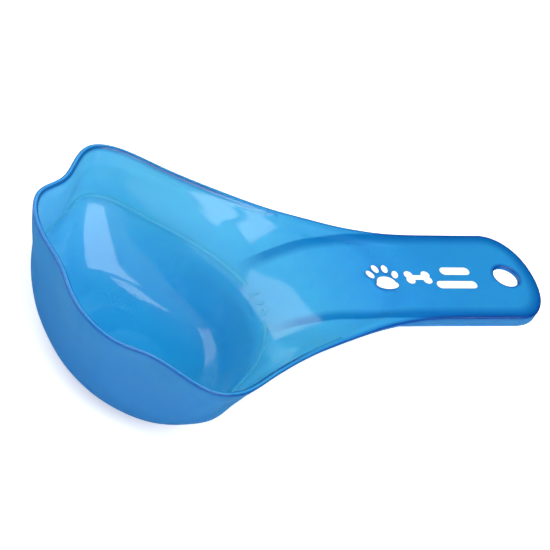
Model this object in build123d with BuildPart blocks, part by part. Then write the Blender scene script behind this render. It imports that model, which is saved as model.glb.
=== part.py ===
from build123d import *
import math
import os
import numpy as np

os.makedirs("parts", exist_ok=True)

# Feed scoop, one thin injection moulding with a raised fill mark and a white print.
# Millimetres, +Z up. The origin is on the table under the middle of the scoop's box.
# X runs from the front lip to the handle, and Y = 0 is the plane of symmetry.

LENGTH = 201.4            # lip to end of handle
DEPTH = 41.0              # table to handle top
WALL = 2.0                # moulded wall
LIP_BULGE = 1.4           # the lip's corners stand forward of its middle
LIP_X = LIP_BULGE - LENGTH / 2
TOP_Z = DEPTH             # handle top, from which levels are counted

HANDLE_HALF = 21.3        # half the handle's width
HANDLE_END = 200.0        # handle end, counted from the lip
SKIRT_DROP = 5.0          # height of the rim round the handle's underside
HOLE_X = 188.0            # hang hole, counted from the lip
HOLE_R = 4.9

FILL_LEVEL = -14.0        # half a US cup lies below this level
MARK_PROUD = 0.4          # how far the fill mark stands off the wall
MARK_LINE = 0.8           # width of the fill line
MARK_GAP = 9.0            # half the gap in the line where the numerals stand

INK = 0.1                 # printed film

# Half outlines of the outside, one for each level below or above the handle top:
# front middle, lip, corner, dip, ear in, ear, ear out, four along the side, shoulder, back.
LEVELS = [
    (7.0, [(-0.3, 0), (-1.6, 13.4), (0, 26.8), (7, 38), (18.3, 44.6), (27, 54), (37.2, 62.5),
           (50.9, 62.2), (66, 54.6), (86, 43.8), (110, 36), (136, 30), (158, 17), (165, 0)]),
    (3.2, [(0.6, 0), (-0.5, 13.3), (1.1, 26.4), (8.1, 37.2), (19.1, 43.6), (27.8, 52.8),
           (37.8, 61.3), (50.6, 61), (65.2, 53.6), (84.8, 43.1), (107.5, 34.9), (129.5, 28.6),
           (148, 16), (153.5, 0)]),
    (0.0, [(1.4, 0), (0.4, 13.2), (2, 26), (9, 36.4), (19.8, 42.6), (28.4, 51.6), (38.3, 60.2),
           (50.3, 59.8), (64.5, 52.4), (83.5, 42.2), (104, 33.6), (122, 26.5), (136, 14.5),
           (140, 0)]),
    (-2.0, [(1.8, 0), (1, 13), (2.7, 25.8), (9.7, 36), (20.2, 42.4), (28.8, 51), (38.5, 59.4),
            (50.1, 58.9), (64, 51.6), (82.5, 41.3), (101.5, 32.9), (116, 25), (127, 13.5),
            (130.5, 0)]),
    (-3.4, [(2.1, 0), (1.4, 13), (3.2, 25.6), (10.2, 35.8), (20.5, 42.3), (29.1, 50.8),
            (38.7, 58.9), (50, 58.3), (63.5, 50.9), (81, 40.5), (97, 32.2), (109, 23.7),
            (116, 12.5), (118.5, 0)]),
    (-6.0, [(2.6, 0), (2.2, 13), (4.2, 25.3), (11, 35.4), (20.9, 42.1), (29.5, 50.6),
            (38.8, 58.3), (49.8, 57.6), (62.8, 49.6), (78.5, 39), (91.5, 30.5), (100.5, 22),
            (105.5, 12), (107, 0)]),
    (-10.0, [(3.3, 0), (3.4, 13), (5.7, 24.9), (12, 34.8), (21.3, 41.9), (29.9, 50.3),
             (39, 57.3), (49.5, 56.4), (61.5, 47.6), (74.5, 37.2), (85.5, 27.8), (92.5, 19),
             (96.5, 10), (97.8, 0)]),
    (-15.0, [(4.2, 0), (4.6, 12.8), (7, 24.3), (12.8, 34.1), (21.6, 41.6), (30.2, 49.4),
             (39.2, 55.8), (49, 54.9), (59.5, 46.4), (70.5, 36.8), (80, 27), (86, 17.8),
             (89.5, 9), (90.5, 0)]),
    (-23.0, [(6.2, 0), (6.9, 12.2), (9.6, 23.3), (14.7, 32.8), (22.3, 40.4), (30.6, 46.6),
             (39.8, 50.2), (49, 48.9), (58.4, 43), (68, 35), (76.3, 26), (82.2, 17.2),
             (85.5, 8.6), (86.5, 0)]),
    (-31.0, [(10.4, 0), (11.2, 10.9), (14.1, 20.9), (19, 29.4), (26, 36.2), (33.6, 40.8),
             (41.8, 42.8), (50, 41.6), (58, 37.4), (66.3, 31), (73.8, 23.4), (79.2, 15.4),
             (82.5, 7.7), (83.5, 0)]),
    (-37.0, [(17.6, 0), (18.4, 9), (21, 17.2), (25.2, 24.6), (30.8, 30.2), (37.2, 34),
             (44.3, 35.4), (51.4, 34.4), (58.4, 31), (65.4, 25.8), (71.7, 19.4), (76.4, 12.8),
             (79.2, 6.4), (80.1, 0)]),
    (-40.2, [(26.4, 0), (27, 6.9), (28.9, 13.2), (32, 18.9), (36.4, 23.4), (41.6, 26.4),
             (47.6, 27.5), (53.4, 26.8), (59, 24.5), (64.5, 20.6), (69.3, 15.6), (72.9, 10.3),
             (75.2, 5.1), (76, 0)]),
    (-DEPTH, [(33, 0), (33.5, 5.4), (34.9, 10.4), (37.4, 14.9), (40.9, 18.5), (45.2, 20.8),
              (50, 21.6), (54.6, 21), (59.2, 19.1), (63.6, 16), (67.5, 12), (70.5, 7.8),
              (72.2, 3.9), (72.8, 0)]),
]
# Levels of the inside, which lies one wall in from the outside
INSIDE_LEVELS = [7.0, 3.6, 1.0, -1.0, -3.4, -7.4, -12.5, -20.5, -28.8, -34.8, -38.1, WALL - DEPTH]


def plane_at(level):
    return Plane((LIP_X, 0, TOP_Z + level))


def ring(half, level):
    far = [(x, -y) for x, y in half[-2:0:-1]]
    return [(x, y, level) for x, y in half + far]


def outward_normals(rings):
    along = np.roll(rings, -1, axis=1) - np.roll(rings, 1, axis=1)
    steps = np.diff(rings, axis=0)
    lengths = np.linalg.norm(steps, axis=2, keepdims=True)
    above = steps[:-1] / lengths[:-1] * lengths[1:]
    below = steps[1:] / lengths[1:] * lengths[:-1]
    down = np.concatenate([steps[:1], above + below, steps[-1:]])
    normals = np.cross(along, down)
    normals /= np.linalg.norm(normals, axis=2, keepdims=True)
    outside = np.sum(normals * (rings - rings.mean(axis=1, keepdims=True)), axis=2)
    return normals if outside.mean() > 0 else -normals


def inside_rings(rings, thickness):
    # Step in from each point by the thickness, then read each column of points at the levels
    inner = rings - thickness * outward_normals(rings)
    columns = [inner[::-1, i] for i in range(inner.shape[1])]
    floor = thickness - DEPTH
    levels = INSIDE_LEVELS[:-1] + [floor]
    return [[(np.interp(z, c[:, 2], c[:, 0]), np.interp(z, c[:, 2], c[:, 1]), z) for c in columns]
            for z in levels]


def loft_rings(rings):
    with BuildPart() as block:
        for points in rings:
            with BuildSketch(plane_at(points[0][2])):
                with BuildLine():
                    Spline(*[(x, y) for x, y, z in points], periodic=True)
                make_face()
        loft()
    return block.part


outer_rings = np.array([ring(half, level) for level, half in LEVELS], dtype=float)
outer_block = loft_rings(outer_rings)
inner_block = loft_rings(inside_rings(outer_rings, WALL))
proud_block = loft_rings(inside_rings(outer_rings, WALL + MARK_PROUD))

# Along the handle the outline is straight, and its end is rounded
NECK_X = 158.0
END_X = 184.0
SHOULDER = (196.8, 13.8)
SHOULDER_NORMAL = (0.76, 0.65)
FLARE = [(94, 35.4), (112, 29.6), (127, 25.3), (143, 22.2)]
SKIRT = [(80, 16.8), (94, 18.2), (118, 20.7)]
FLARE_SLOPE = -0.42
SKIRT_SLOPE = 0.1
SKIRT_BOTTOM = -22.0
SKIRT_SWEEP = [(108.5, -6.9), (100, -11.4), (94, -15.6), (78, -20.5)]
SWEEP_START = 120.0       # in front of here the skirt's lower edge sweeps down
CUT_MARGIN = 8.0          # cutting bodies reach this far past the moulding
BEYOND_X = HANDLE_END + CUT_MARGIN
SIDE_VIEW = Plane((LIP_X, 0, TOP_Z), x_dir=(1, 0, 0), z_dir=(0, -1, 0))


def handle_outline(front, slope, inset=0.0):
    half_width = HANDLE_HALF - inset
    end = HANDLE_END - inset
    start = front[0][0]
    with BuildSketch() as outline:
        with BuildLine():
            neck = Spline(*[(x, y - inset) for x, y in front], (NECK_X, half_width),
                          tangents=[(1, slope), (1, 0)])
            side = Line(neck @ 1, (END_X, half_width))
            shoulder = (SHOULDER[0] - SHOULDER_NORMAL[0] * inset, SHOULDER[1] - SHOULDER_NORMAL[1] * inset)
            tip = Spline(side @ 1, shoulder, (end, 0), tangents=[(1, 0), (0, -1)])
            Polyline(tip @ 1, (start, 0), neck @ 0)
        make_face()
        mirror(about=Plane.XZ)
    return outline.sketch


with BuildPart() as handle:
    with BuildSketch(plane_at(-WALL)):
        add(handle_outline(FLARE, FLARE_SLOPE))
    extrude(amount=WALL)

with BuildPart() as skirt:
    with BuildSketch(plane_at(SKIRT_BOTTOM)):
        add(handle_outline(SKIRT, SKIRT_SLOPE))
        add(handle_outline(SKIRT, SKIRT_SLOPE, inset=WALL), mode=Mode.SUBTRACT)
    extrude(amount=-SKIRT_BOTTOM - WALL)
    # Its lower edge runs level under the handle and sweeps down to die out on the bowl's back
    with BuildSketch(SIDE_VIEW):
        with BuildLine():
            level = Line((BEYOND_X, -SKIRT_DROP), (SWEEP_START, -SKIRT_DROP))
            sweep_down = Spline(level @ 1, *SKIRT_SWEEP, tangents=[(-1, 0), (-1, -0.2)])
            Polyline(sweep_down @ 1, (SKIRT_SWEEP[-1][0], SKIRT_BOTTOM - CUT_MARGIN),
                     (BEYOND_X, SKIRT_BOTTOM - CUT_MARGIN), level @ 0)
        make_face()
    extrude(amount=HANDLE_HALF + CUT_MARGIN, both=True, mode=Mode.SUBTRACT)

# The rim's height above the handle's top falls gently from the lip to the handle
RIM = [(-6, 5.9), (0, 5.6), (20, 4.6), (44, 3.7), (62, 2.1), (84, 1), (106, 0)]
RIM_TOP = 12.0
BOWL_HALF = 80.0

with BuildPart() as rim_trim:
    with BuildSketch(SIDE_VIEW):
        with BuildLine():
            Spline(*RIM, tangents=[(1, -0.04), (1, -0.02)])
            Polyline(RIM[-1], (BEYOND_X, 0), (BEYOND_X, RIM_TOP), (RIM[0][0], RIM_TOP), RIM[0])
        make_face()
    extrude(amount=BOWL_HALF, both=True)

with BuildPart() as scoop_moulding:
    add(outer_block)
    add(handle.part)
    add(skirt.part)
    add(inner_block, mode=Mode.SUBTRACT)
    add(rim_trim.part, mode=Mode.SUBTRACT)
    with Locations((LIP_X + HOLE_X, 0, TOP_Z)):
        Hole(HOLE_R)

# Fill mark: a raised line round the inside, broken on the back wall by the raised numerals
MARK_X = LIP_X + 87.0

with BuildPart() as fill_line:
    with BuildSketch(Plane.XY.offset(TOP_Z + FILL_LEVEL - MARK_LINE / 2)):
        Rectangle(2 * LENGTH, LENGTH)
        with Locations((MARK_X, 0)):
            Rectangle(2 * MARK_GAP, 2 * MARK_GAP, mode=Mode.SUBTRACT)
    extrude(amount=MARK_LINE)
    add(inner_block, mode=Mode.INTERSECT)
    add(proud_block, mode=Mode.SUBTRACT)

WALL_SLOPE = math.radians(55)
STROKE = 0.8
NUMERAL_REACH = 8.0
numeral_plane = Plane((MARK_X, 0, TOP_Z + FILL_LEVEL), x_dir=(0, -1, 0),
                      z_dir=(-math.sin(WALL_SLOPE), 0, math.cos(WALL_SLOPE)))

with BuildPart() as fill_numerals:
    with BuildSketch(numeral_plane):
        with BuildLine():
            Polyline((-5.2, 1.4), (-4, 2.4), (-4, -2.4))
            Line((-1.6, -2.6), (1.2, 2.6))
            two = ThreePointArc((3, 1.3), (4.4, 2.4), (5.8, 1.2))
            Polyline(two @ 1, (3, -2.4), (6, -2.4))
        trace(line_width=STROKE)
    extrude(amount=NUMERAL_REACH, both=True)
    add(inner_block, mode=Mode.INTERSECT)
    add(proud_block, mode=Mode.SUBTRACT)


# White print on the handle: a paw, a bone and two plain bars, each its own film of ink
def ink(name, sketch):
    with BuildPart() as film:
        with BuildSketch(plane_at(0)):
            add(sketch)
        extrude(amount=INK)
    film.part.label = name
    return film.part


PAW_X = 135.0
TOES = [(-5.2, 0.4, 25), (-2.0, 3.2, 8), (2.0, 3.2, -8), (5.2, 0.4, -25)]
BONE_X = 149.5
BONE_Y = -1.0
BONE_KNOBS = [(BONE_X + dx, BONE_Y + dy) for dx in (-3.6, 3.6) for dy in (-1.35, 1.35)]
BARS = [(166.6, 2.3, 12.5), (164.6, -4.6, 17.0)]
BAR_HEIGHT = 3.6

with BuildSketch() as pad:
    with Locations((PAW_X, -3.6)):
        Ellipse(3.9, 3.0)
    with Locations((PAW_X, -4.6)):
        Ellipse(4.6, 2.2)

toes = []
for dx, dy, turn in TOES:
    with BuildSketch() as toe:
        with Locations((PAW_X + dx, dy)):
            Ellipse(1.25, 1.9, rotation=turn)
    toes.append(toe.sketch)

with BuildSketch() as bone:
    with Locations((BONE_X, BONE_Y)):
        Rectangle(6.4, 2.2)
    with Locations(BONE_KNOBS):
        Circle(1.75)

bars = []
for x, y, width in BARS:
    with BuildSketch() as bar:
        with Locations((x, y)):
            SlotOverall(width, BAR_HEIGHT)
    bars.append(bar.sketch)

films = [ink("print_paw_pad", pad.sketch)]
films += [ink(f"print_paw_toe_{i}", t) for i, t in enumerate(toes, 1)]
films += [ink("print_bone", bone.sketch)]
films += [ink(f"print_bar_{n}", b) for n, b in zip(("upper", "lower"), bars)]

scoop_moulding.part.label = "scoop_moulding"
fill_line.part.label = "fill_line"
fill_numerals.part.label = "fill_numerals"
for piece in [scoop_moulding.part, fill_line.part, fill_numerals.part] + films:
    export_step(piece, f"parts/{piece.label}.step")
    box = piece.bounding_box()
    print(piece.label, round(piece.volume, 1), piece.is_valid, len(piece.solids()), box.min, box.max)

space = inner_block & Pos(0, 0, TOP_Z + FILL_LEVEL - DEPTH) * Box(2 * LENGTH, LENGTH, 2 * DEPTH)
print("capacity below the fill line, ml", round(space.volume / 1000, 1))
print("centre of mass", scoop_moulding.part.center(CenterOf.MASS))
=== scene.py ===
import itertools
import math

import bpy
import numpy as np
from mathutils import Matrix, Vector


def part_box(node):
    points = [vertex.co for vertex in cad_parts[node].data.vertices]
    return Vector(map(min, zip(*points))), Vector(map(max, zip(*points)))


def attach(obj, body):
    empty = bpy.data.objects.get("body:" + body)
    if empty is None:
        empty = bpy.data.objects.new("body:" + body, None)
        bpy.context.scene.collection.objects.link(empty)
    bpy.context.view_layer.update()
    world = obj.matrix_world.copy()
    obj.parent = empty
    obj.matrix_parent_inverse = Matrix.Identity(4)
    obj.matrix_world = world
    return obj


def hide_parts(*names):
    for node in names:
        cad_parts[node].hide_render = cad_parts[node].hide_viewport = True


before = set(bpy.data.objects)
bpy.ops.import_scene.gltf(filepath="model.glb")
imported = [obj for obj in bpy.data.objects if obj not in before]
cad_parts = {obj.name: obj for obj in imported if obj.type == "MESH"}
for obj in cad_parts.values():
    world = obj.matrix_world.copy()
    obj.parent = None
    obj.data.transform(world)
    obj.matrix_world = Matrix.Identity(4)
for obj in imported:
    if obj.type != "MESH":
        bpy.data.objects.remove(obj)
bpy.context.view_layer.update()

# The feed scoop is one moulding, so its visible shape is one mesh. A field gives the signed
# distance from the moulding's surface, with rounded edges and soft joins. A lattice finds where
# the field changes sign, and the mesh's points are then moved onto the surface.

# ---------------------------------------------------------------- sizes, in millimetres
# Lengths along the scoop count from the lip, and heights from the top of the handle.
MM = 0.001
MOULDING_LOW, MOULDING_HIGH = [Vector(corner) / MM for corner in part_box("scoop_moulding")]
TOP_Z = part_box("print_bone")[0].z / MM    # the handle's top face, where the print lies
LIP_BULGE = 1.3                           # the lip's corners stand forward of its middle
LIP_X = MOULDING_LOW.x + LIP_BULGE
DEPTH = TOP_Z
WALL = 2.0
BOWL_X = 48.0                             # middle of the bowl

HANDLE_HALF = 21.3
HANDLE_END = 200.0
TIP_LENGTH = 16.0                         # the rounded end of the handle
TIP_POWER = 2.2                           # 2 is an ellipse, and more is squarer
PLATE_X = 94.0                            # plate and skirt start inside the bowl's wall
SKIRT_X = 80.0
HOLE_X = 188.0
HOLE_R = 4.9

# Half widths of the handle's plate and of the skirt under it, and heights of the skirt's lower
# edge and of the rim, at places along the scoop
FLARE = [(94, 35.4), (112, 29.6), (127, 25.3), (143, 22.2), (158, 21.3), (200, 21.3)]
SKIRT = [(80, 16.8), (94, 18.2), (118, 20.7), (143, 21.2), (158, 21.3), (200, 21.3)]
SKIRT_EDGE = [(78, -20.5), (94, -15.6), (100, -11.4), (108.5, -6.9), (120, -5.0), (130, -5.0)]
RIM = [(-6, 5.9), (0, 5.6), (20, 4.6), (44, 3.7), (62, 2.1), (84, 1.0), (106, 0.0), (116, 0.0)]

EDGE = 0.9                                # rounding of moulded edges
FOOT = 1.5                                # rounding from the outside wall to the flat under it
JOINT = 1.0                               # fillet where walls meet
RAMP = 1.6                                # fillet where the handle's plate leaves the bowl
FLOOR_EASING = 8.0                        # easing from the inside wall to the floor
EASING = 4.0                              # easing from the handle's top into the bowl
# A fade is a start and a length: nothing up to the start, and all of it a length further on
EASING_INSET = (3, 4)                     # the easing fades in from the handle's outline
EASING_ALONG = (96, 20)                   # and along the scoop
FLUSH_ALONG = (135.0, 20)                 # where the edges of plate and skirt come to lie flush

# Half outlines of the outside, one for each level below or above the handle top:
# front middle, lip, corner, dip, ear in, ear, ear out, four along the side, shoulder, back.
# The last level is the flat under the bowl.
LEVELS = [
    (7.0, [(-0.3, 0), (-1.6, 13.4), (0, 26.8), (7, 38), (18.3, 44.6), (27, 54), (37.2, 62.5),
           (50.9, 62.2), (66, 54.6), (86, 43.8), (110, 36), (136, 30), (158, 17), (165, 0)]),
    (3.2, [(0.6, 0), (-0.5, 13.3), (1.1, 26.4), (8.1, 37.2), (19.1, 43.6), (27.8, 52.8),
           (37.8, 61.3), (50.6, 61), (65.2, 53.6), (84.8, 43.1), (107.5, 34.9), (129.5, 28.6),
           (148, 16), (153.5, 0)]),
    (0.0, [(1.4, 0), (0.4, 13.2), (2, 26), (9, 36.4), (19.8, 42.6), (28.4, 51.6), (38.3, 60.2),
           (50.3, 59.8), (64.5, 52.4), (83.5, 42.2), (104, 33.6), (122, 26.5), (136, 14.5),
           (140, 0)]),
    (-2.0, [(1.8, 0), (1, 13), (2.7, 25.8), (9.7, 36), (20.2, 42.4), (28.8, 51), (38.5, 59.4),
            (50.1, 58.9), (64, 51.6), (82.5, 41.3), (101.5, 32.9), (116, 25), (127, 13.5),
            (130.5, 0)]),
    (-3.4, [(2.1, 0), (1.4, 13), (3.2, 25.6), (10.2, 35.8), (20.5, 42.3), (29.1, 50.8),
            (38.7, 58.9), (50, 58.3), (63.5, 50.9), (81, 40.5), (97, 32.2), (109, 23.7),
            (116, 12.5), (118.5, 0)]),
    (-6.0, [(2.6, 0), (2.2, 13), (4.2, 25.3), (11, 35.4), (20.9, 42.1), (29.5, 50.6),
            (38.8, 58.3), (49.8, 57.6), (62.8, 49.6), (78.5, 39), (91.5, 30.5), (100.5, 22),
            (105.5, 12), (107, 0)]),
    (-10.0, [(3.3, 0), (3.4, 13), (5.7, 24.9), (12, 34.8), (21.3, 41.9), (29.9, 50.3),
             (39, 57.3), (49.5, 56.4), (61.5, 47.6), (74.5, 37.2), (85.5, 27.8), (92.5, 19),
             (96.5, 10), (97.8, 0)]),
    (-15.0, [(4.2, 0), (4.6, 12.8), (7, 24.3), (12.8, 34.1), (21.6, 41.6), (30.2, 49.4),
             (39.2, 55.8), (49, 54.9), (59.5, 46.4), (70.5, 36.8), (80, 27), (86, 17.8),
             (89.5, 9), (90.5, 0)]),
    (-23.0, [(6.2, 0), (6.9, 12.2), (9.6, 23.3), (14.7, 32.8), (22.3, 40.4), (30.6, 46.6),
             (39.8, 50.2), (49, 48.9), (58.4, 43), (68, 35), (76.3, 26), (82.2, 17.2),
             (85.5, 8.6), (86.5, 0)]),
    (-31.0, [(10.4, 0), (11.2, 10.9), (14.1, 20.9), (19, 29.4), (26, 36.2), (33.6, 40.8),
             (41.8, 42.8), (50, 41.6), (58, 37.4), (66.3, 31), (73.8, 23.4), (79.2, 15.4),
             (82.5, 7.7), (83.5, 0)]),
    (-37.0, [(17.6, 0), (18.4, 9), (21, 17.2), (25.2, 24.6), (30.8, 30.2), (37.2, 34),
             (44.3, 35.4), (51.4, 34.4), (58.4, 31), (65.4, 25.8), (71.7, 19.4), (76.4, 12.8),
             (79.2, 6.4), (80.1, 0)]),
    (-40.2, [(26.4, 0), (27, 6.9), (28.9, 13.2), (32, 18.9), (36.4, 23.4), (41.6, 26.4),
             (47.6, 27.5), (53.4, 26.8), (59, 24.5), (64.5, 20.6), (69.3, 15.6), (72.9, 10.3),
             (75.2, 5.1), (76, 0)]),
    (-41.0, [(33, 0), (33.5, 5.4), (34.9, 10.4), (37.4, 14.9), (40.9, 18.5), (45.2, 20.8),
             (50, 21.6), (54.6, 21), (59.2, 19.1), (63.6, 16), (67.5, 12), (70.5, 7.8),
             (72.2, 3.9), (72.8, 0)]),
]

AROUND = 720                              # bearings in the tables of radii
DOWN = 480                                # steps down the wall
ROWS = 600                                # heights in the tables of radii
EVENING = 4                               # rounds of evening out the tables' slopes
BELOW = 1.5                               # tables and lattice reach this far under the foot
# One more outline below the flat closes the shape without an edge at its foot
CLOSING_LEVEL = -DEPTH - 0.7
CLOSING_CENTRE = np.array([51.0, 0.0])
CLOSING_SHARE = 0.55
AXIS_REACH = 22.0                         # near the bowl's middle a point is deep inside,
AXIS_DEPTH = 30.0                         # whatever the tables say
NEAREST = 5                               # bearings lose their meaning nearer the middle

SPACING = 0.5      # of the lattice
LATTICE_LOW = (-3.0, -64.0, -DEPTH - BELOW)
LATTICE_HIGH = (HANDLE_END + 2, 64.0, 1.5)
LIFT_DEPTH = 30.0                         # the lattice follows the rim down to this depth
SETTLING = 5                              # rounds of moving points onto the surface
LARGEST_MOVE = 0.3
LEAST_STEEPNESS = 0.05

# Traits of the surface that its finish and its painted shade depend on
OUTER_DEPTH = (0.3, 0.5)                  # satin ends this far under the outer shape
UPWARD = (0.1, 0.3)                       # and where the surface faces up
INNER_EDGE_DIM = (78, 30)                 # the bowl's inner edge grows faint along the scoop
INNER_EDGE_GONE = (104, 20)               # and is no edge at all on the handle,
FAR_GAP = 10                              # so its gap is raised by this much there
LARGEST_GAP = 5
RIB_SHADE_ACROSS = [(-0.4, 0), (0.2, 1), (2.4, 0.9), (5.5, 0)]    # painted shade of the skirt seen through the wall, inward from the skirt's outline
RIB_SHADE_ALONG = (86, 10)


# ---------------------------------------------------------------- curves and the moulding's field
def rise(value, start, length):
    """0 up to start, 1 from start + length on, and even in between."""
    return np.clip((value - start) / length, 0, 1)


def natural_spline(knots, values, at, periodic=False):
    """Cubic spline through values (one row for each knot), read at the places in at."""
    knots = np.asarray(knots, float)
    values = np.asarray(values, float).reshape(len(knots), -1)
    count = len(knots)
    step = np.diff(knots)
    matrix = np.zeros((count, count))
    right = np.zeros_like(values)
    slope = np.diff(values, axis=0) / step[:, None]
    for i in range(1, count - 1):
        matrix[i, i - 1:i + 2] = step[i - 1], 2 * (step[i - 1] + step[i]), step[i]
        right[i] = 6 * (slope[i] - slope[i - 1])
    if periodic:
        matrix[0, 0], matrix[0, -1] = 1, -1
        matrix[-1, 0] = 2 * step[0]
        matrix[-1, 1] = step[0]
        matrix[-1, -2] = step[-1]
        matrix[-1, -1] = 2 * step[-1]
        right[-1] = 6 * (slope[0] - slope[-1])
    else:
        matrix[0, 0] = matrix[-1, -1] = 1
    bend = np.linalg.solve(matrix, right)
    at = np.asarray(at, float)
    i = np.clip(np.searchsorted(knots, at) - 1, 0, count - 2)
    a = (at - knots[i])[:, None]
    b = (knots[i + 1] - at)[:, None]
    h = step[i][:, None]
    curved = (bend[i] * b ** 3 + bend[i + 1] * a ** 3) / (6 * h)
    return curved + (values[i] / h - bend[i] * h / 6) * b + (values[i + 1] / h - bend[i + 1] * h / 6) * a


def curve_table(points, low=-10.0, high=230.0, count=961):
    """A smooth curve through points, as a fine table for np.interp."""
    xs, ys = np.array(points, float).T
    at = np.linspace(low, high, count)
    return at, natural_spline(xs, ys, np.clip(at, xs[0], xs[-1]))[:, 0]


bearings = np.linspace(-math.pi, math.pi, AROUND + 1)
heights = np.linspace(-DEPTH - BELOW, LEVELS[0][0], ROWS)


def closed_outlines():
    """The levels, and at each level the outside's closed outline as a row of points."""
    turns = np.linspace(0, 1, AROUND + 1)
    rings = []
    for level, half in LEVELS:
        ring = np.array(half + [(x, -y) for x, y in half[-2::-1]], float)
        gap = np.linalg.norm(np.diff(ring, axis=0), axis=1)
        along = np.concatenate([[0], np.cumsum(np.sqrt(gap))])
        rings.append(natural_spline(along / along[-1], ring, turns, periodic=True))
    rings.append(CLOSING_CENTRE + CLOSING_SHARE * (rings[-1] - CLOSING_CENTRE))
    return np.array([level for level, half in LEVELS] + [CLOSING_LEVEL]), np.array(rings)


def wall_tables():
    """Radii of the outside and the inside about the bowl's middle, by bearing and height."""
    levels, rings = closed_outlines()
    mean_radius = np.linalg.norm(rings - [BOWL_X, 0], axis=2).mean(axis=1)
    travel = np.cumsum(np.r_[0, np.hypot(np.diff(levels), np.diff(mean_radius))])
    at = np.linspace(0, travel[-1], DOWN)
    flat = natural_spline(travel, np.c_[levels, rings.reshape(len(rings), -1)], at)
    z = flat[:, 0]
    xy = flat[:, 1:].reshape(DOWN, AROUND + 1, 2)
    outside = np.dstack([xy, np.broadcast_to(z[:, None], xy.shape[:2])])
    across = np.gradient(outside, axis=1)
    across[:, 0] = across[:, -1] = outside[:, 1] - outside[:, -2]
    normal = np.cross(across, np.gradient(outside, axis=0))
    normal /= np.linalg.norm(normal, axis=2, keepdims=True)
    if normal[:, 0, 0].mean() > 0:
        normal = -normal
    return radii(outside), radii(outside - WALL * normal)


def radii(surface):
    """Radii of a surface about the bowl's middle, read at the tables' bearings and heights."""
    bearing = np.arctan2(surface[..., 1], surface[..., 0] - BOWL_X)
    radius = np.hypot(surface[..., 1], surface[..., 0] - BOWL_X)
    table_z = np.empty((len(surface), AROUND + 1))
    table_r = np.empty((len(surface), AROUND + 1))
    for row in range(len(surface)):
        order = np.argsort(bearing[row, :-1])
        turn = bearing[row, :-1][order]
        turn = np.concatenate([turn[-3:] - 2 * math.pi, turn, turn[:3] + 2 * math.pi])
        wrap = np.concatenate([order[-3:], order, order[:3]])
        table_z[row] = np.interp(bearings, turn, surface[row, wrap, 2])
        table_r[row] = np.interp(bearings, turn, radius[row, wrap])
    out = np.empty((len(heights), AROUND + 1))
    for column in range(AROUND + 1):
        order = np.argsort(table_z[:, column])
        out[:, column] = np.interp(heights, table_z[order, column], table_r[order, column])
    return out


def with_slope(table):
    """A table of radii, and how fast they grow with height, evened out over a few rows."""
    slope = np.gradient(table, heights[1] - heights[0], axis=0)
    for _ in range(EVENING):
        slope[1:-1] = (slope[:-2] + slope[1:-1] + slope[2:]) / 3
    return table, slope


def look_up(tables, x, y, z):
    """Signed distance, near the wall, from the surface that the tables hold; negative is inside."""
    table, slope = tables
    bearing = np.arctan2(y, x - BOWL_X)
    radius = np.hypot(y, x - BOWL_X)
    u = (bearing + math.pi) / (2 * math.pi) * AROUND
    v = (np.clip(z, heights[0], heights[-1]) - heights[0]) / (heights[1] - heights[0])
    i = np.clip(u.astype(int), 0, AROUND - 1)
    j = np.clip(v.astype(int), 0, len(heights) - 2)
    du, dv = u - i, v - j
    # The four entries round each point, mixed by how near each one is
    a, b, c, d = table[j, i], table[j, i + 1], table[j + 1, i], table[j + 1, i + 1]
    wall = (a * (1 - du) + b * du) * (1 - dv) + (c * (1 - du) + d * du) * dv
    by_height = slope[j, i] * (1 - dv) + slope[j + 1, i] * dv
    by_bearing = ((b - a) * (1 - dv) + (d - c) * dv) * AROUND / (2 * math.pi)
    by_bearing = by_bearing / np.maximum(radius, NEAREST)
    axis = np.clip(1 - radius / AXIS_REACH, 0, 1)
    return (radius - wall) / np.sqrt(1 + by_height ** 2 + by_bearing ** 2) - AXIS_DEPTH * axis ** 2


def smooth_max(a, b, k):
    """The larger of two distances, rounded over a width k where they are close."""
    h = np.maximum(k - np.abs(a - b), 0) / k
    return np.maximum(a, b) + h * h * k / 4


def smooth_min(a, b, k):
    return -smooth_max(-a, -b, k)


def outline(x, y, widths):
    """Distance outside the handle's plan outline, whose half widths are given along its length."""
    half = np.interp(x, *widths)
    slope = np.interp(x + 0.5, *widths) - np.interp(x - 0.5, *widths)
    side = (np.abs(y) - half) / np.sqrt(1 + slope ** 2)
    u = np.maximum(x - (HANDLE_END - TIP_LENGTH), 0) / TIP_LENGTH
    v = np.abs(y) / HANDLE_HALF
    norm = (u ** TIP_POWER + v ** TIP_POWER) ** (1 / TIP_POWER) + 1e-9
    steep_x = (u / norm) ** (TIP_POWER - 1) / TIP_LENGTH
    steep_y = (v / norm) ** (TIP_POWER - 1) / HANDLE_HALF
    tip = (norm - 1) / np.maximum(np.hypot(steep_x, steep_y), 1e-6)
    # Where plate and skirt lie flush their fillet swells, so both stand back by as much
    swell = JOINT / 4 * rise(x, *FLUSH_ALONG)
    return np.where(x > HANDLE_END - TIP_LENGTH, tip, side) + swell


outer_table, inner_table = [with_slope(table) for table in wall_tables()]
flare_table = curve_table(FLARE)
skirt_table = curve_table(SKIRT)
edge_table = curve_table(SKIRT_EDGE)
rim_table = curve_table(RIM)


def body_field(x, y, z):
    """The bowl's outer shape with the handle's plate and skirt, before the hollow is taken out."""
    outside = smooth_max(look_up(outer_table, x, y, z), -DEPTH - z, FOOT)
    plate = smooth_max(outline(x, y, flare_table), -WALL - z, EDGE)
    ring = outline(x, y, skirt_table)
    skirt = smooth_max(smooth_max(ring, -ring - WALL, EDGE), np.interp(x, *edge_table) - z, EDGE)
    solid = smooth_min(outside, np.maximum(plate, PLATE_X - x), RAMP)
    return smooth_min(solid, np.maximum(skirt, SKIRT_X - x), JOINT)


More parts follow.
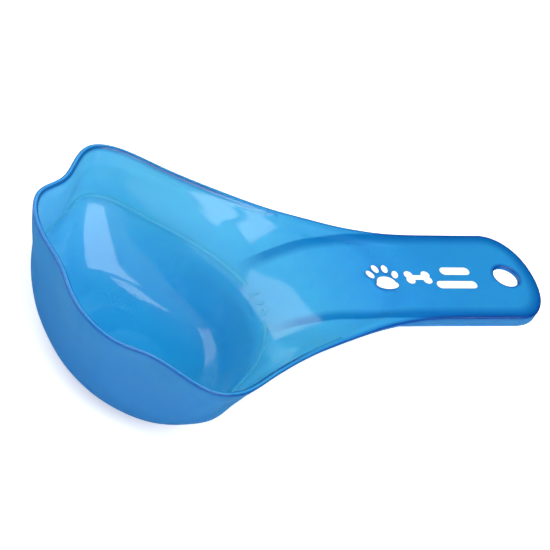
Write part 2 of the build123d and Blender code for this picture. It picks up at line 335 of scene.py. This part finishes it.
def moulding_field(x, y, z):
    """The body, less the hollow and all that lies above the rim, less the hang hole."""
    inside = smooth_max(look_up(inner_table, x, y, z), WALL - DEPTH - z, FLOOR_EASING)
    from_edge = rise(-outline(x, y, flare_table), *EASING_INSET)
    easing = EDGE + (EASING - EDGE) * from_edge * rise(x, *EASING_ALONG)
    cut = smooth_max(z - np.interp(x, *rim_table), -inside, easing)
    solid = smooth_max(body_field(x, y, z), cut, EDGE)
    return smooth_max(solid, HOLE_R - np.hypot(x - HOLE_X, y), EDGE)


# ---------------------------------------------------------------- from the field to a mesh
def gradient(points, step=0.02):
    """Slope of the moulding's field at each point."""
    out = np.empty_like(points)
    for axis in range(3):
        shift = np.zeros(3)
        shift[axis] = step
        ahead = moulding_field(*(points + shift).T)
        behind = moulding_field(*(points - shift).T)
        out[:, axis] = (ahead - behind) / (2 * step)
    return out


def lifted(points):
    """Lattice heights follow the rim, so that no layer of the lattice cuts its edge at a slant."""
    share = np.clip(1 + points[:, 2] / LIFT_DEPTH, 0, 1)
    return np.c_[points[:, :2], points[:, 2] + share * np.interp(points[:, 0], *rim_table)]


def lattice_values():
    """The field's values on the lattice, one layer of it after another."""
    axes = [np.arange(low + SPACING / 2, high + SPACING, SPACING)
            for low, high in zip(LATTICE_LOW, LATTICE_HIGH)]
    value = np.empty([len(axis) for axis in axes], np.float32)
    across, up = np.meshgrid(axes[1], axes[2], indexing="ij")
    for i, x in enumerate(axes[0]):
        layer = lifted(np.c_[np.full(across.size, x), across.ravel(), up.ravel()])
        value[i] = moulding_field(*layer.T).reshape(across.shape)
    return value


CORNERS = list(itertools.product((0, 1), repeat=3))


def cell_points(value):
    """A point in each cell that the surface crosses, and the number of each cell's point."""
    shape = value.shape
    inside = value < 0
    count = np.zeros([n - 1 for n in shape], np.uint8)
    for dx, dy, dz in CORNERS:
        count += inside[dx:shape[0] - 1 + dx, dy:shape[1] - 1 + dy, dz:shape[2] - 1 + dz]
    active = (count > 0) & (count < len(CORNERS))
    number = np.full(active.shape, -1, np.int64)
    cells = np.argwhere(active)
    number[active] = np.arange(len(cells))
    # Each point is the mean of the places where the surface crosses its cell's edges
    total = np.zeros((len(cells), 3))
    hits = np.zeros(len(cells))
    for corner, axis in itertools.product(CORNERS, range(3)):
        if corner[axis]:
            continue
        other = [1 if k == axis else corner[k] for k in range(3)]
        here = value[tuple((cells + corner).T)]
        there = value[tuple((cells + other).T)]
        crossed = (here < 0) != (there < 0)
        share = np.where(crossed, here / np.where(crossed, here - there, 1), 0)
        spot = np.array(corner, float) + share[:, None] * np.subtract(other, corner, dtype=float)
        total += np.where(crossed[:, None], spot, 0)
        hits += crossed
    low = np.array(LATTICE_LOW) + SPACING / 2
    return lifted(low + (cells + total / hits[:, None]) * SPACING), number


def net_quads(value, number):
    """A quad round each lattice edge that the surface crosses, facing outward."""
    shape = value.shape
    inside = value < 0
    quads = []
    for axis, (u, v) in enumerate([(1, 2), (2, 0), (0, 1)]):
        near = np.take(inside, range(0, shape[axis] - 1), axis)
        far = np.take(inside, range(1, shape[axis]), axis)
        edges = np.argwhere(near != far)
        keep = (edges[:, u] > 0) & (edges[:, u] < shape[u] - 1)
        keep &= (edges[:, v] > 0) & (edges[:, v] < shape[v] - 1)
        edges = edges[keep]
        back = np.zeros((4, 3), int)
        back[1, u] = back[2, u] = 1
        back[2, v] = back[3, v] = 1
        quad = np.stack([number[tuple((edges - step).T)] for step in back], axis=1)
        outward = near[tuple(edges.T)]
        quad[~outward] = quad[~outward][:, ::-1]
        quads.append(quad)
    return np.concatenate(quads)


def settled(points):
    """The points, moved along the field's slope onto the surface."""
    for _ in range(SETTLING):
        slope = gradient(points)
        steepness = np.maximum((slope ** 2).sum(1), LEAST_STEEPNESS)
        move = moulding_field(*points.T) / steepness
        points = points - slope * np.clip(move, -LARGEST_MOVE, LARGEST_MOVE)[:, None]
    return points


def surface_traits(points, normals):
    """What the finish and painted shade of each point depend on: satin outside, the distance from
    the nearest upper edge in millimetres, and the rib behind the wall, both for painted shade."""
    x, y, z = points.T
    body = body_field(x, y, z)
    outer = (1 - rise(-body, *OUTER_DEPTH)) * (1 - rise(normals[:, 2], *UPWARD))
    under_top = z - np.interp(x, *rim_table)
    inner_edge = np.hypot(look_up(inner_table, x, y, z), under_top)
    inner_edge += rise(x, *INNER_EDGE_DIM) + FAR_GAP * rise(x, *INNER_EDGE_GONE)
    hole_edge = np.hypot(np.hypot(x - HOLE_X, y) - HOLE_R, under_top)
    gap = np.minimum(np.minimum(np.hypot(body, under_top), inner_edge), hole_edge)
    rib_shade = np.interp(-outline(x, y, skirt_table), *zip(*RIB_SHADE_ACROSS))
    rib_shade *= rise(x, *RIB_SHADE_ALONG) * (1 - outer)
    return {"outer": outer, "edge_gap": np.minimum(gap, LARGEST_GAP), "rib_shade": rib_shade}


def quad_mesh(name, world, quads):
    """A smooth mesh of quads, with its points in metres."""
    mesh = bpy.data.meshes.new(name)
    mesh.vertices.add(len(world))
    mesh.vertices.foreach_set("co", world.astype(np.float32).ravel())
    mesh.loops.add(quads.size)
    mesh.loops.foreach_set("vertex_index", quads.astype(np.int32).ravel())
    mesh.polygons.add(len(quads))
    mesh.polygons.foreach_set("loop_start", np.arange(0, quads.size, 4, dtype=np.int32))
    mesh.polygons.foreach_set("loop_total", np.full(len(quads), 4, np.int32))
    mesh.update(calc_edges=True)
    mesh.validate()
    mesh.polygons.foreach_set("use_smooth", np.ones(len(mesh.polygons), bool))
    return mesh


def smooth_moulding(name):
    """The moulding's visible surface, with the field's own normals and the traits of its finish."""
    value = lattice_values()
    points, number = cell_points(value)
    quads = net_quads(value, number)
    points = settled(points)
    # The mesh stays within the CAD moulding's box
    world = (points + [LIP_X, 0, TOP_Z]) * MM
    world = np.clip(world, np.array(MOULDING_LOW) * MM, np.array(MOULDING_HIGH) * MM)
    mesh = quad_mesh(name, world, quads)
    normals = gradient(points)
    normals /= np.linalg.norm(normals, axis=1, keepdims=True)
    mesh.normals_split_custom_set_from_vertices([tuple(normal) for normal in normals])
    for trait_name, values in surface_traits(points, normals).items():
        trait_data = mesh.attributes.new(trait_name, "FLOAT", "POINT").data
        trait_data.foreach_set("value", values.astype(np.float32))
    piece = bpy.data.objects.new(name, mesh)
    bpy.context.scene.collection.objects.link(piece)
    return piece


# ---------------------------------------------------------------- materials
# Painted light and shade: colours along the inside from the lip, lighter at the lip and darker towards
# the handle's end, and how depth in the bowl deepens them into painted shade
INSIDE_LIGHT_AND_SHADE = [(0.0, (0.12, 0.47, 0.72)), (0.3, (0.075, 0.42, 0.61)), (0.45, (0.048, 0.35, 0.57)),
         (0.58, (0.036, 0.30, 0.56)), (0.75, (0.017, 0.24, 0.53)), (1.0, (0.016, 0.235, 0.50))]
DEPTH_SHADE = (0.12, 0.60, 0.86)
DEPTH_SHADE_HEIGHTS = (0.002, 0.034)             # from all of it to none
# Painted shade: the outside darker than the inside, and darkest low on the wall
OUTSIDE_SHADE_LOW = (0.016, 0.135, 0.37)
OUTSIDE_SHADE_HIGH = (0.035, 0.19, 0.42)
OUTSIDE_SHADE_HEIGHTS = (0.004, 0.040)
# Painted shade along the upper edges: tints, full and gone at these gaps in millimetres
EDGE_SHADE_TINT = (0.12, 0.34, 0.56)
EDGE_SHADE_BAND = (0.5, 0.8)
BRIM_SHADE_TINT = (0.5, 0.68, 0.82)
BRIM_SHADE_BAND = (1.0, 1.7)
RIB_SHADE_TINT = (0.05, 0.52, 0.74)             # the skirt, seen through the wall in front of it: darker from its thicker plastic, and painted shade under the plate
CLOUD_TINT = (0.93, 0.96, 0.97)
CLOUD_SCALE = 30
INSIDE_ROUGHNESS = 0.08
OUTSIDE_ROUGHNESS = 0.42
HAZE_SCALE = 120
HAZE = 0.04                               # how far the roughness wanders
GRAIN_SCALE = 900
GRAIN_STRENGTH = 0.05
GRAIN_HEIGHT = 0.0002
NOISE_MIDDLE = (0.3, 0.7)                 # the noise seldom leaves this range
LIGHT_TRAVEL = (0.4, 1.0, 1.6)            # of red, green and blue inside the plastic
TRAVEL_SCALE = 0.002
SHINE = 0.6

MIX_COLOURS = (6, 7)                      # the Mix node's sockets for colours
MIX_RESULT = 2


def new_material(name):
    material = bpy.data.materials.new(name)
    material.use_nodes = True
    nodes = material.node_tree.nodes
    shader = next(node for node in nodes if node.type == "BSDF_PRINCIPLED")
    return material, nodes, material.node_tree.links, shader


def noise(nodes, links, place, scale, detail=2.0):
    node = nodes.new("ShaderNodeTexNoise")
    node.inputs["Scale"].default_value = scale
    node.inputs["Detail"].default_value = detail
    links.new(place, node.inputs["Vector"])
    return node.outputs["Fac"]


def remap(nodes, links, value, low, high, new_low, new_high):
    node = nodes.new("ShaderNodeMapRange")
    node.inputs["From Min"].default_value = low
    node.inputs["From Max"].default_value = high
    node.inputs["To Min"].default_value = new_low
    node.inputs["To Max"].default_value = new_high
    links.new(value, node.inputs["Value"])
    return node.outputs["Result"]


def mix_colours(nodes, links, factor, first, second, how="MIX"):
    """Mixes two colours, each one a tuple or the output of a node."""
    node = nodes.new("ShaderNodeMix")
    node.data_type = "RGBA"
    node.blend_type = how
    links.new(factor, node.inputs["Factor"])
    for number, colour in zip(MIX_COLOURS, (first, second)):
        if isinstance(colour, tuple):
            node.inputs[number].default_value = (*colour, 1)
        else:
            links.new(colour, node.inputs[number])
    return node.outputs[MIX_RESULT]


def tint(nodes, links, colour, factor, by):
    """Multiplies a colour by another where the factor says."""
    return mix_colours(nodes, links, factor, colour, by, "MULTIPLY")


def trait(nodes, name):
    node = nodes.new("ShaderNodeAttribute")
    node.attribute_name = name
    return node.outputs["Fac"]


def ramp(nodes, links, value, stops):
    node = nodes.new("ShaderNodeValToRGB")
    points = node.color_ramp.elements
    while len(points) < len(stops):
        points.new(1.0)
    for point, (place, colour) in zip(points, stops):
        point.position = place
        point.color = (*colour, 1)
    links.new(value, node.inputs["Fac"])
    return node.outputs["Color"]


def plastic_colour(nodes, links, place):
    axes = nodes.new("ShaderNodeSeparateXYZ")
    links.new(place, axes.inputs[0])
    # Painted light and shade: lighter at the lip, darker towards the handle's end and deep in the bowl
    along = remap(nodes, links, axes.outputs["X"], LIP_X * MM, (LIP_X + HANDLE_END) * MM, 0, 1)
    depth_shade = remap(nodes, links, axes.outputs["Z"], *DEPTH_SHADE_HEIGHTS, 1, 0)
    inside = tint(nodes, links, ramp(nodes, links, along, INSIDE_LIGHT_AND_SHADE), depth_shade, DEPTH_SHADE)
    # Painted shade where the skirt stands behind the wall, deepened by its thicker plastic
    inside = tint(nodes, links, inside, trait(nodes, "rib_shade"), RIB_SHADE_TINT)
    # Painted shade: the outside darker than the inside, and darker low down
    high = remap(nodes, links, axes.outputs["Z"], *OUTSIDE_SHADE_HEIGHTS, 0, 1)
    outside = mix_colours(nodes, links, high, OUTSIDE_SHADE_LOW, OUTSIDE_SHADE_HIGH)
    colour = mix_colours(nodes, links, trait(nodes, "outer"), inside, outside)
    # Painted shade in two bands along the upper edges
    for shade_band, shade_tint in ((EDGE_SHADE_BAND, EDGE_SHADE_TINT), (BRIM_SHADE_BAND, BRIM_SHADE_TINT)):
        near = remap(nodes, links, trait(nodes, "edge_gap"), *shade_band, 1, 0)
        colour = tint(nodes, links, colour, near, shade_tint)
    cloud = remap(nodes, links, noise(nodes, links, place, CLOUD_SCALE), *NOISE_MIDDLE, 0, 1)
    return tint(nodes, links, colour, cloud, CLOUD_TINT)


def plastic_roughness(nodes, links, place):
    haze = remap(nodes, links, noise(nodes, links, place, HAZE_SCALE), *NOISE_MIDDLE, 0, HAZE)
    outer = trait(nodes, "outer")
    node = nodes.new("ShaderNodeMath")
    node.operation = "ADD"
    links.new(remap(nodes, links, outer, 0, 1, INSIDE_ROUGHNESS, OUTSIDE_ROUGHNESS), node.inputs[0])
    links.new(haze, node.inputs[1])
    return node.outputs[0]


def blue_plastic():
    """Translucent blue: glossy inside and on top, satin outside."""
    material, nodes, links, shader = new_material("blue_plastic")
    place = nodes.new("ShaderNodeTexCoord").outputs["Object"]
    links.new(plastic_colour(nodes, links, place), shader.inputs["Base Color"])
    links.new(plastic_roughness(nodes, links, place), shader.inputs["Roughness"])
    shader.inputs["Subsurface Weight"].default_value = 1.0
    shader.inputs["Subsurface Radius"].default_value = LIGHT_TRAVEL
    shader.inputs["Subsurface Scale"].default_value = TRAVEL_SCALE
    shader.inputs["Specular IOR Level"].default_value = SHINE
    grain = nodes.new("ShaderNodeBump")
    grain.inputs["Strength"].default_value = GRAIN_STRENGTH
    grain.inputs["Distance"].default_value = GRAIN_HEIGHT
    links.new(noise(nodes, links, place, GRAIN_SCALE, 3), grain.inputs["Height"])
    links.new(grain.outputs["Normal"], shader.inputs["Normal"])
    return material


def speckled(name, scale, middle, first, second, roughness):
    """A material whose colour wanders between two that are close."""
    material, nodes, links, shader = new_material(name)
    place = nodes.new("ShaderNodeTexCoord").outputs["Object"]
    share = remap(nodes, links, noise(nodes, links, place, scale), *middle, 0, 1)
    links.new(mix_colours(nodes, links, share, first, second), shader.inputs["Base Color"])
    shader.inputs["Roughness"].default_value = roughness
    return material


def mark_plastic():
    return speckled("blue_plastic_mark", scale=200, middle=NOISE_MIDDLE, first=(0.038, 0.31, 0.52),
                    second=(0.046, 0.34, 0.57), roughness=0.35)


def white_ink():
    return speckled("white_ink", scale=900, middle=(0.35, 0.65), first=(0.82, 0.87, 0.90),
                    second=(0.90, 0.93, 0.95), roughness=0.45)


# ---------------------------------------------------------------- the pieces
plastic = blue_plastic()
mark = mark_plastic()
ink = white_ink()

scoop = smooth_moulding("scoop_moulding_smooth")
scoop.data.materials.append(plastic)
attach(scoop, "root")
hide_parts("scoop_moulding")

for name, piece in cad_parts.items():
    if name != "scoop_moulding":
        piece.data.materials.clear()
        piece.data.materials.append(ink if name.startswith("print_") else mark)

# ---------------------------------------------------------------- camera, in metres
LOOK_AT = Vector((0.0007, 0, TOP_Z * MM))
AZIMUTH, ELEVATION, ROLL = (math.radians(angle) for angle in (-130.7, 36.92, 27.55))
DISTANCE = 2.0
VIEW_WIDTH = 0.1947                       # what the picture spans at the point looked at
OFF_CENTRE = Vector((-0.00864, 0.00006, 0))

away = Vector((math.cos(ELEVATION) * math.cos(AZIMUTH),
               math.cos(ELEVATION) * math.sin(AZIMUTH),
               math.sin(ELEVATION)))
turn = away.to_track_quat("Z", "Y").to_matrix() @ Matrix.Rotation(ROLL, 3, "Z")
camera = bpy.data.objects.new("camera", bpy.data.cameras.new("camera"))
bpy.context.scene.collection.objects.link(camera)
stand = LOOK_AT + DISTANCE * away + turn @ OFF_CENTRE
camera.matrix_world = Matrix.Translation(stand) @ turn.to_4x4()
camera.data.lens = camera.data.sensor_width * DISTANCE / VIEW_WIDTH
camera.data.clip_end = 20
bpy.context.scene.camera = camera

# ---------------------------------------------------------------- floor and light, in metres
FLOOR_HALF = 3.0
FLOOR_DROP = 0.0003                       # the floor lies just under the scoop's foot
FLOOR_GREY = 0.9
FLOOR_ROUGHNESS = 0.8
FLOOR_GLOW = 0.40
# Soft boxes in the camera's own axes (right, up, back): direction, width axis, size and radiance
PANELS = {
    "panel_upper_left": ((-0.63, 0.77, 0.05), (0.75, 0.59, 0.31), (1.80, 1.65), 1.7),
    "panel_overhead": ((0.40, 0.66, 0.59), (0.77, 0.14, -0.63), (0.39, 0.42), 2.5),
    "panel_front": ((0.70, 0.115, 0.78), (0.74, 0.0, -0.67), (1.15, 0.90), 2.8),
}
PANEL_DISTANCE = 1.2
# Wide even light in the scoop's axes, left out of the reflections: direction and power
FILLS = {"fill_top": ((0.13, 0.13, 1.0), 8), "fill_front": ((-0.36, -0.64, 0.74), 36)}
FILL_DISTANCE = 2.45
FILL_SIZE = (2.0, 2.0)
# The white surroundings are brighter on the side that the bowl opens to
BRIGHT_SIDE = (-0.55, -0.65, 0.52)
FACING = (-0.2, 0.9)
WORLD_LIGHT = (0.05, 0.6)


def floor():
    """A pale floor that glows a little, and that the plastic does not mirror."""
    mesh = bpy.data.meshes.new("floor")
    corners = [(-FLOOR_HALF, -FLOOR_HALF, 0), (FLOOR_HALF, -FLOOR_HALF, 0),
               (FLOOR_HALF, FLOOR_HALF, 0), (-FLOOR_HALF, FLOOR_HALF, 0)]
    mesh.from_pydata(corners, [], [(0, 1, 2, 3)])
    piece = bpy.data.objects.new("floor", mesh)
    piece.location.z = -FLOOR_DROP
    bpy.context.scene.collection.objects.link(piece)
    material, nodes, links, shader = new_material("pale_floor")
    shader.inputs["Base Color"].default_value = (FLOOR_GREY, FLOOR_GREY, FLOOR_GREY, 1)
    shader.inputs["Roughness"].default_value = FLOOR_ROUGHNESS
    shader.inputs["Emission Color"].default_value = (1, 1, 1, 1)
    shader.inputs["Emission Strength"].default_value = FLOOR_GLOW
    mesh.materials.append(material)
    piece.visible_glossy = False


def soft_light(name, toward, across, distance, size, power):
    """A rectangular light that faces the scoop from one direction, its width lying along across."""
    light = bpy.data.lights.new(name, "AREA")
    light.shape = "RECTANGLE"
    light.size, light.size_y = size
    light.energy = power
    piece = bpy.data.objects.new(name, light)
    back = Vector(toward).normalized()
    side = (Vector(across) - Vector(across).dot(back) * back).normalized()
    axes = Matrix((side, back.cross(side), back)).transposed()
    piece.matrix_world = Matrix.Translation(LOOK_AT + distance * back) @ axes.to_4x4()
    bpy.context.scene.collection.objects.link(piece)
    return piece


def lights():
    for name, (direction, across, size, radiance) in PANELS.items():
        power = radiance * math.pi * size[0] * size[1]
        soft_light(name, turn @ Vector(direction), turn @ Vector(across), PANEL_DISTANCE, size, power)
    for name, (direction, power) in FILLS.items():
        fill = soft_light(name, direction, (1, 0, 0), FILL_DISTANCE, FILL_SIZE, power)
        fill.visible_glossy = False


def studio():
    world = bpy.data.worlds.new("studio")
    world.use_nodes = True
    nodes, links = world.node_tree.nodes, world.node_tree.links
    facing = nodes.new("ShaderNodeVectorMath")
    facing.operation = "DOT_PRODUCT"
    facing.inputs[1].default_value = BRIGHT_SIDE
    links.new(nodes.new("ShaderNodeTexCoord").outputs["Generated"], facing.inputs[0])
    light = remap(nodes, links, facing.outputs["Value"], *FACING, *WORLD_LIGHT)
    links.new(light, nodes["Background"].inputs["Strength"])
    nodes["Background"].inputs["Color"].default_value = (1, 1, 1, 1)
    bpy.context.scene.world = world


floor()
lights()
studio()
bpy.context.scene.view_settings.view_transform = "Standard"
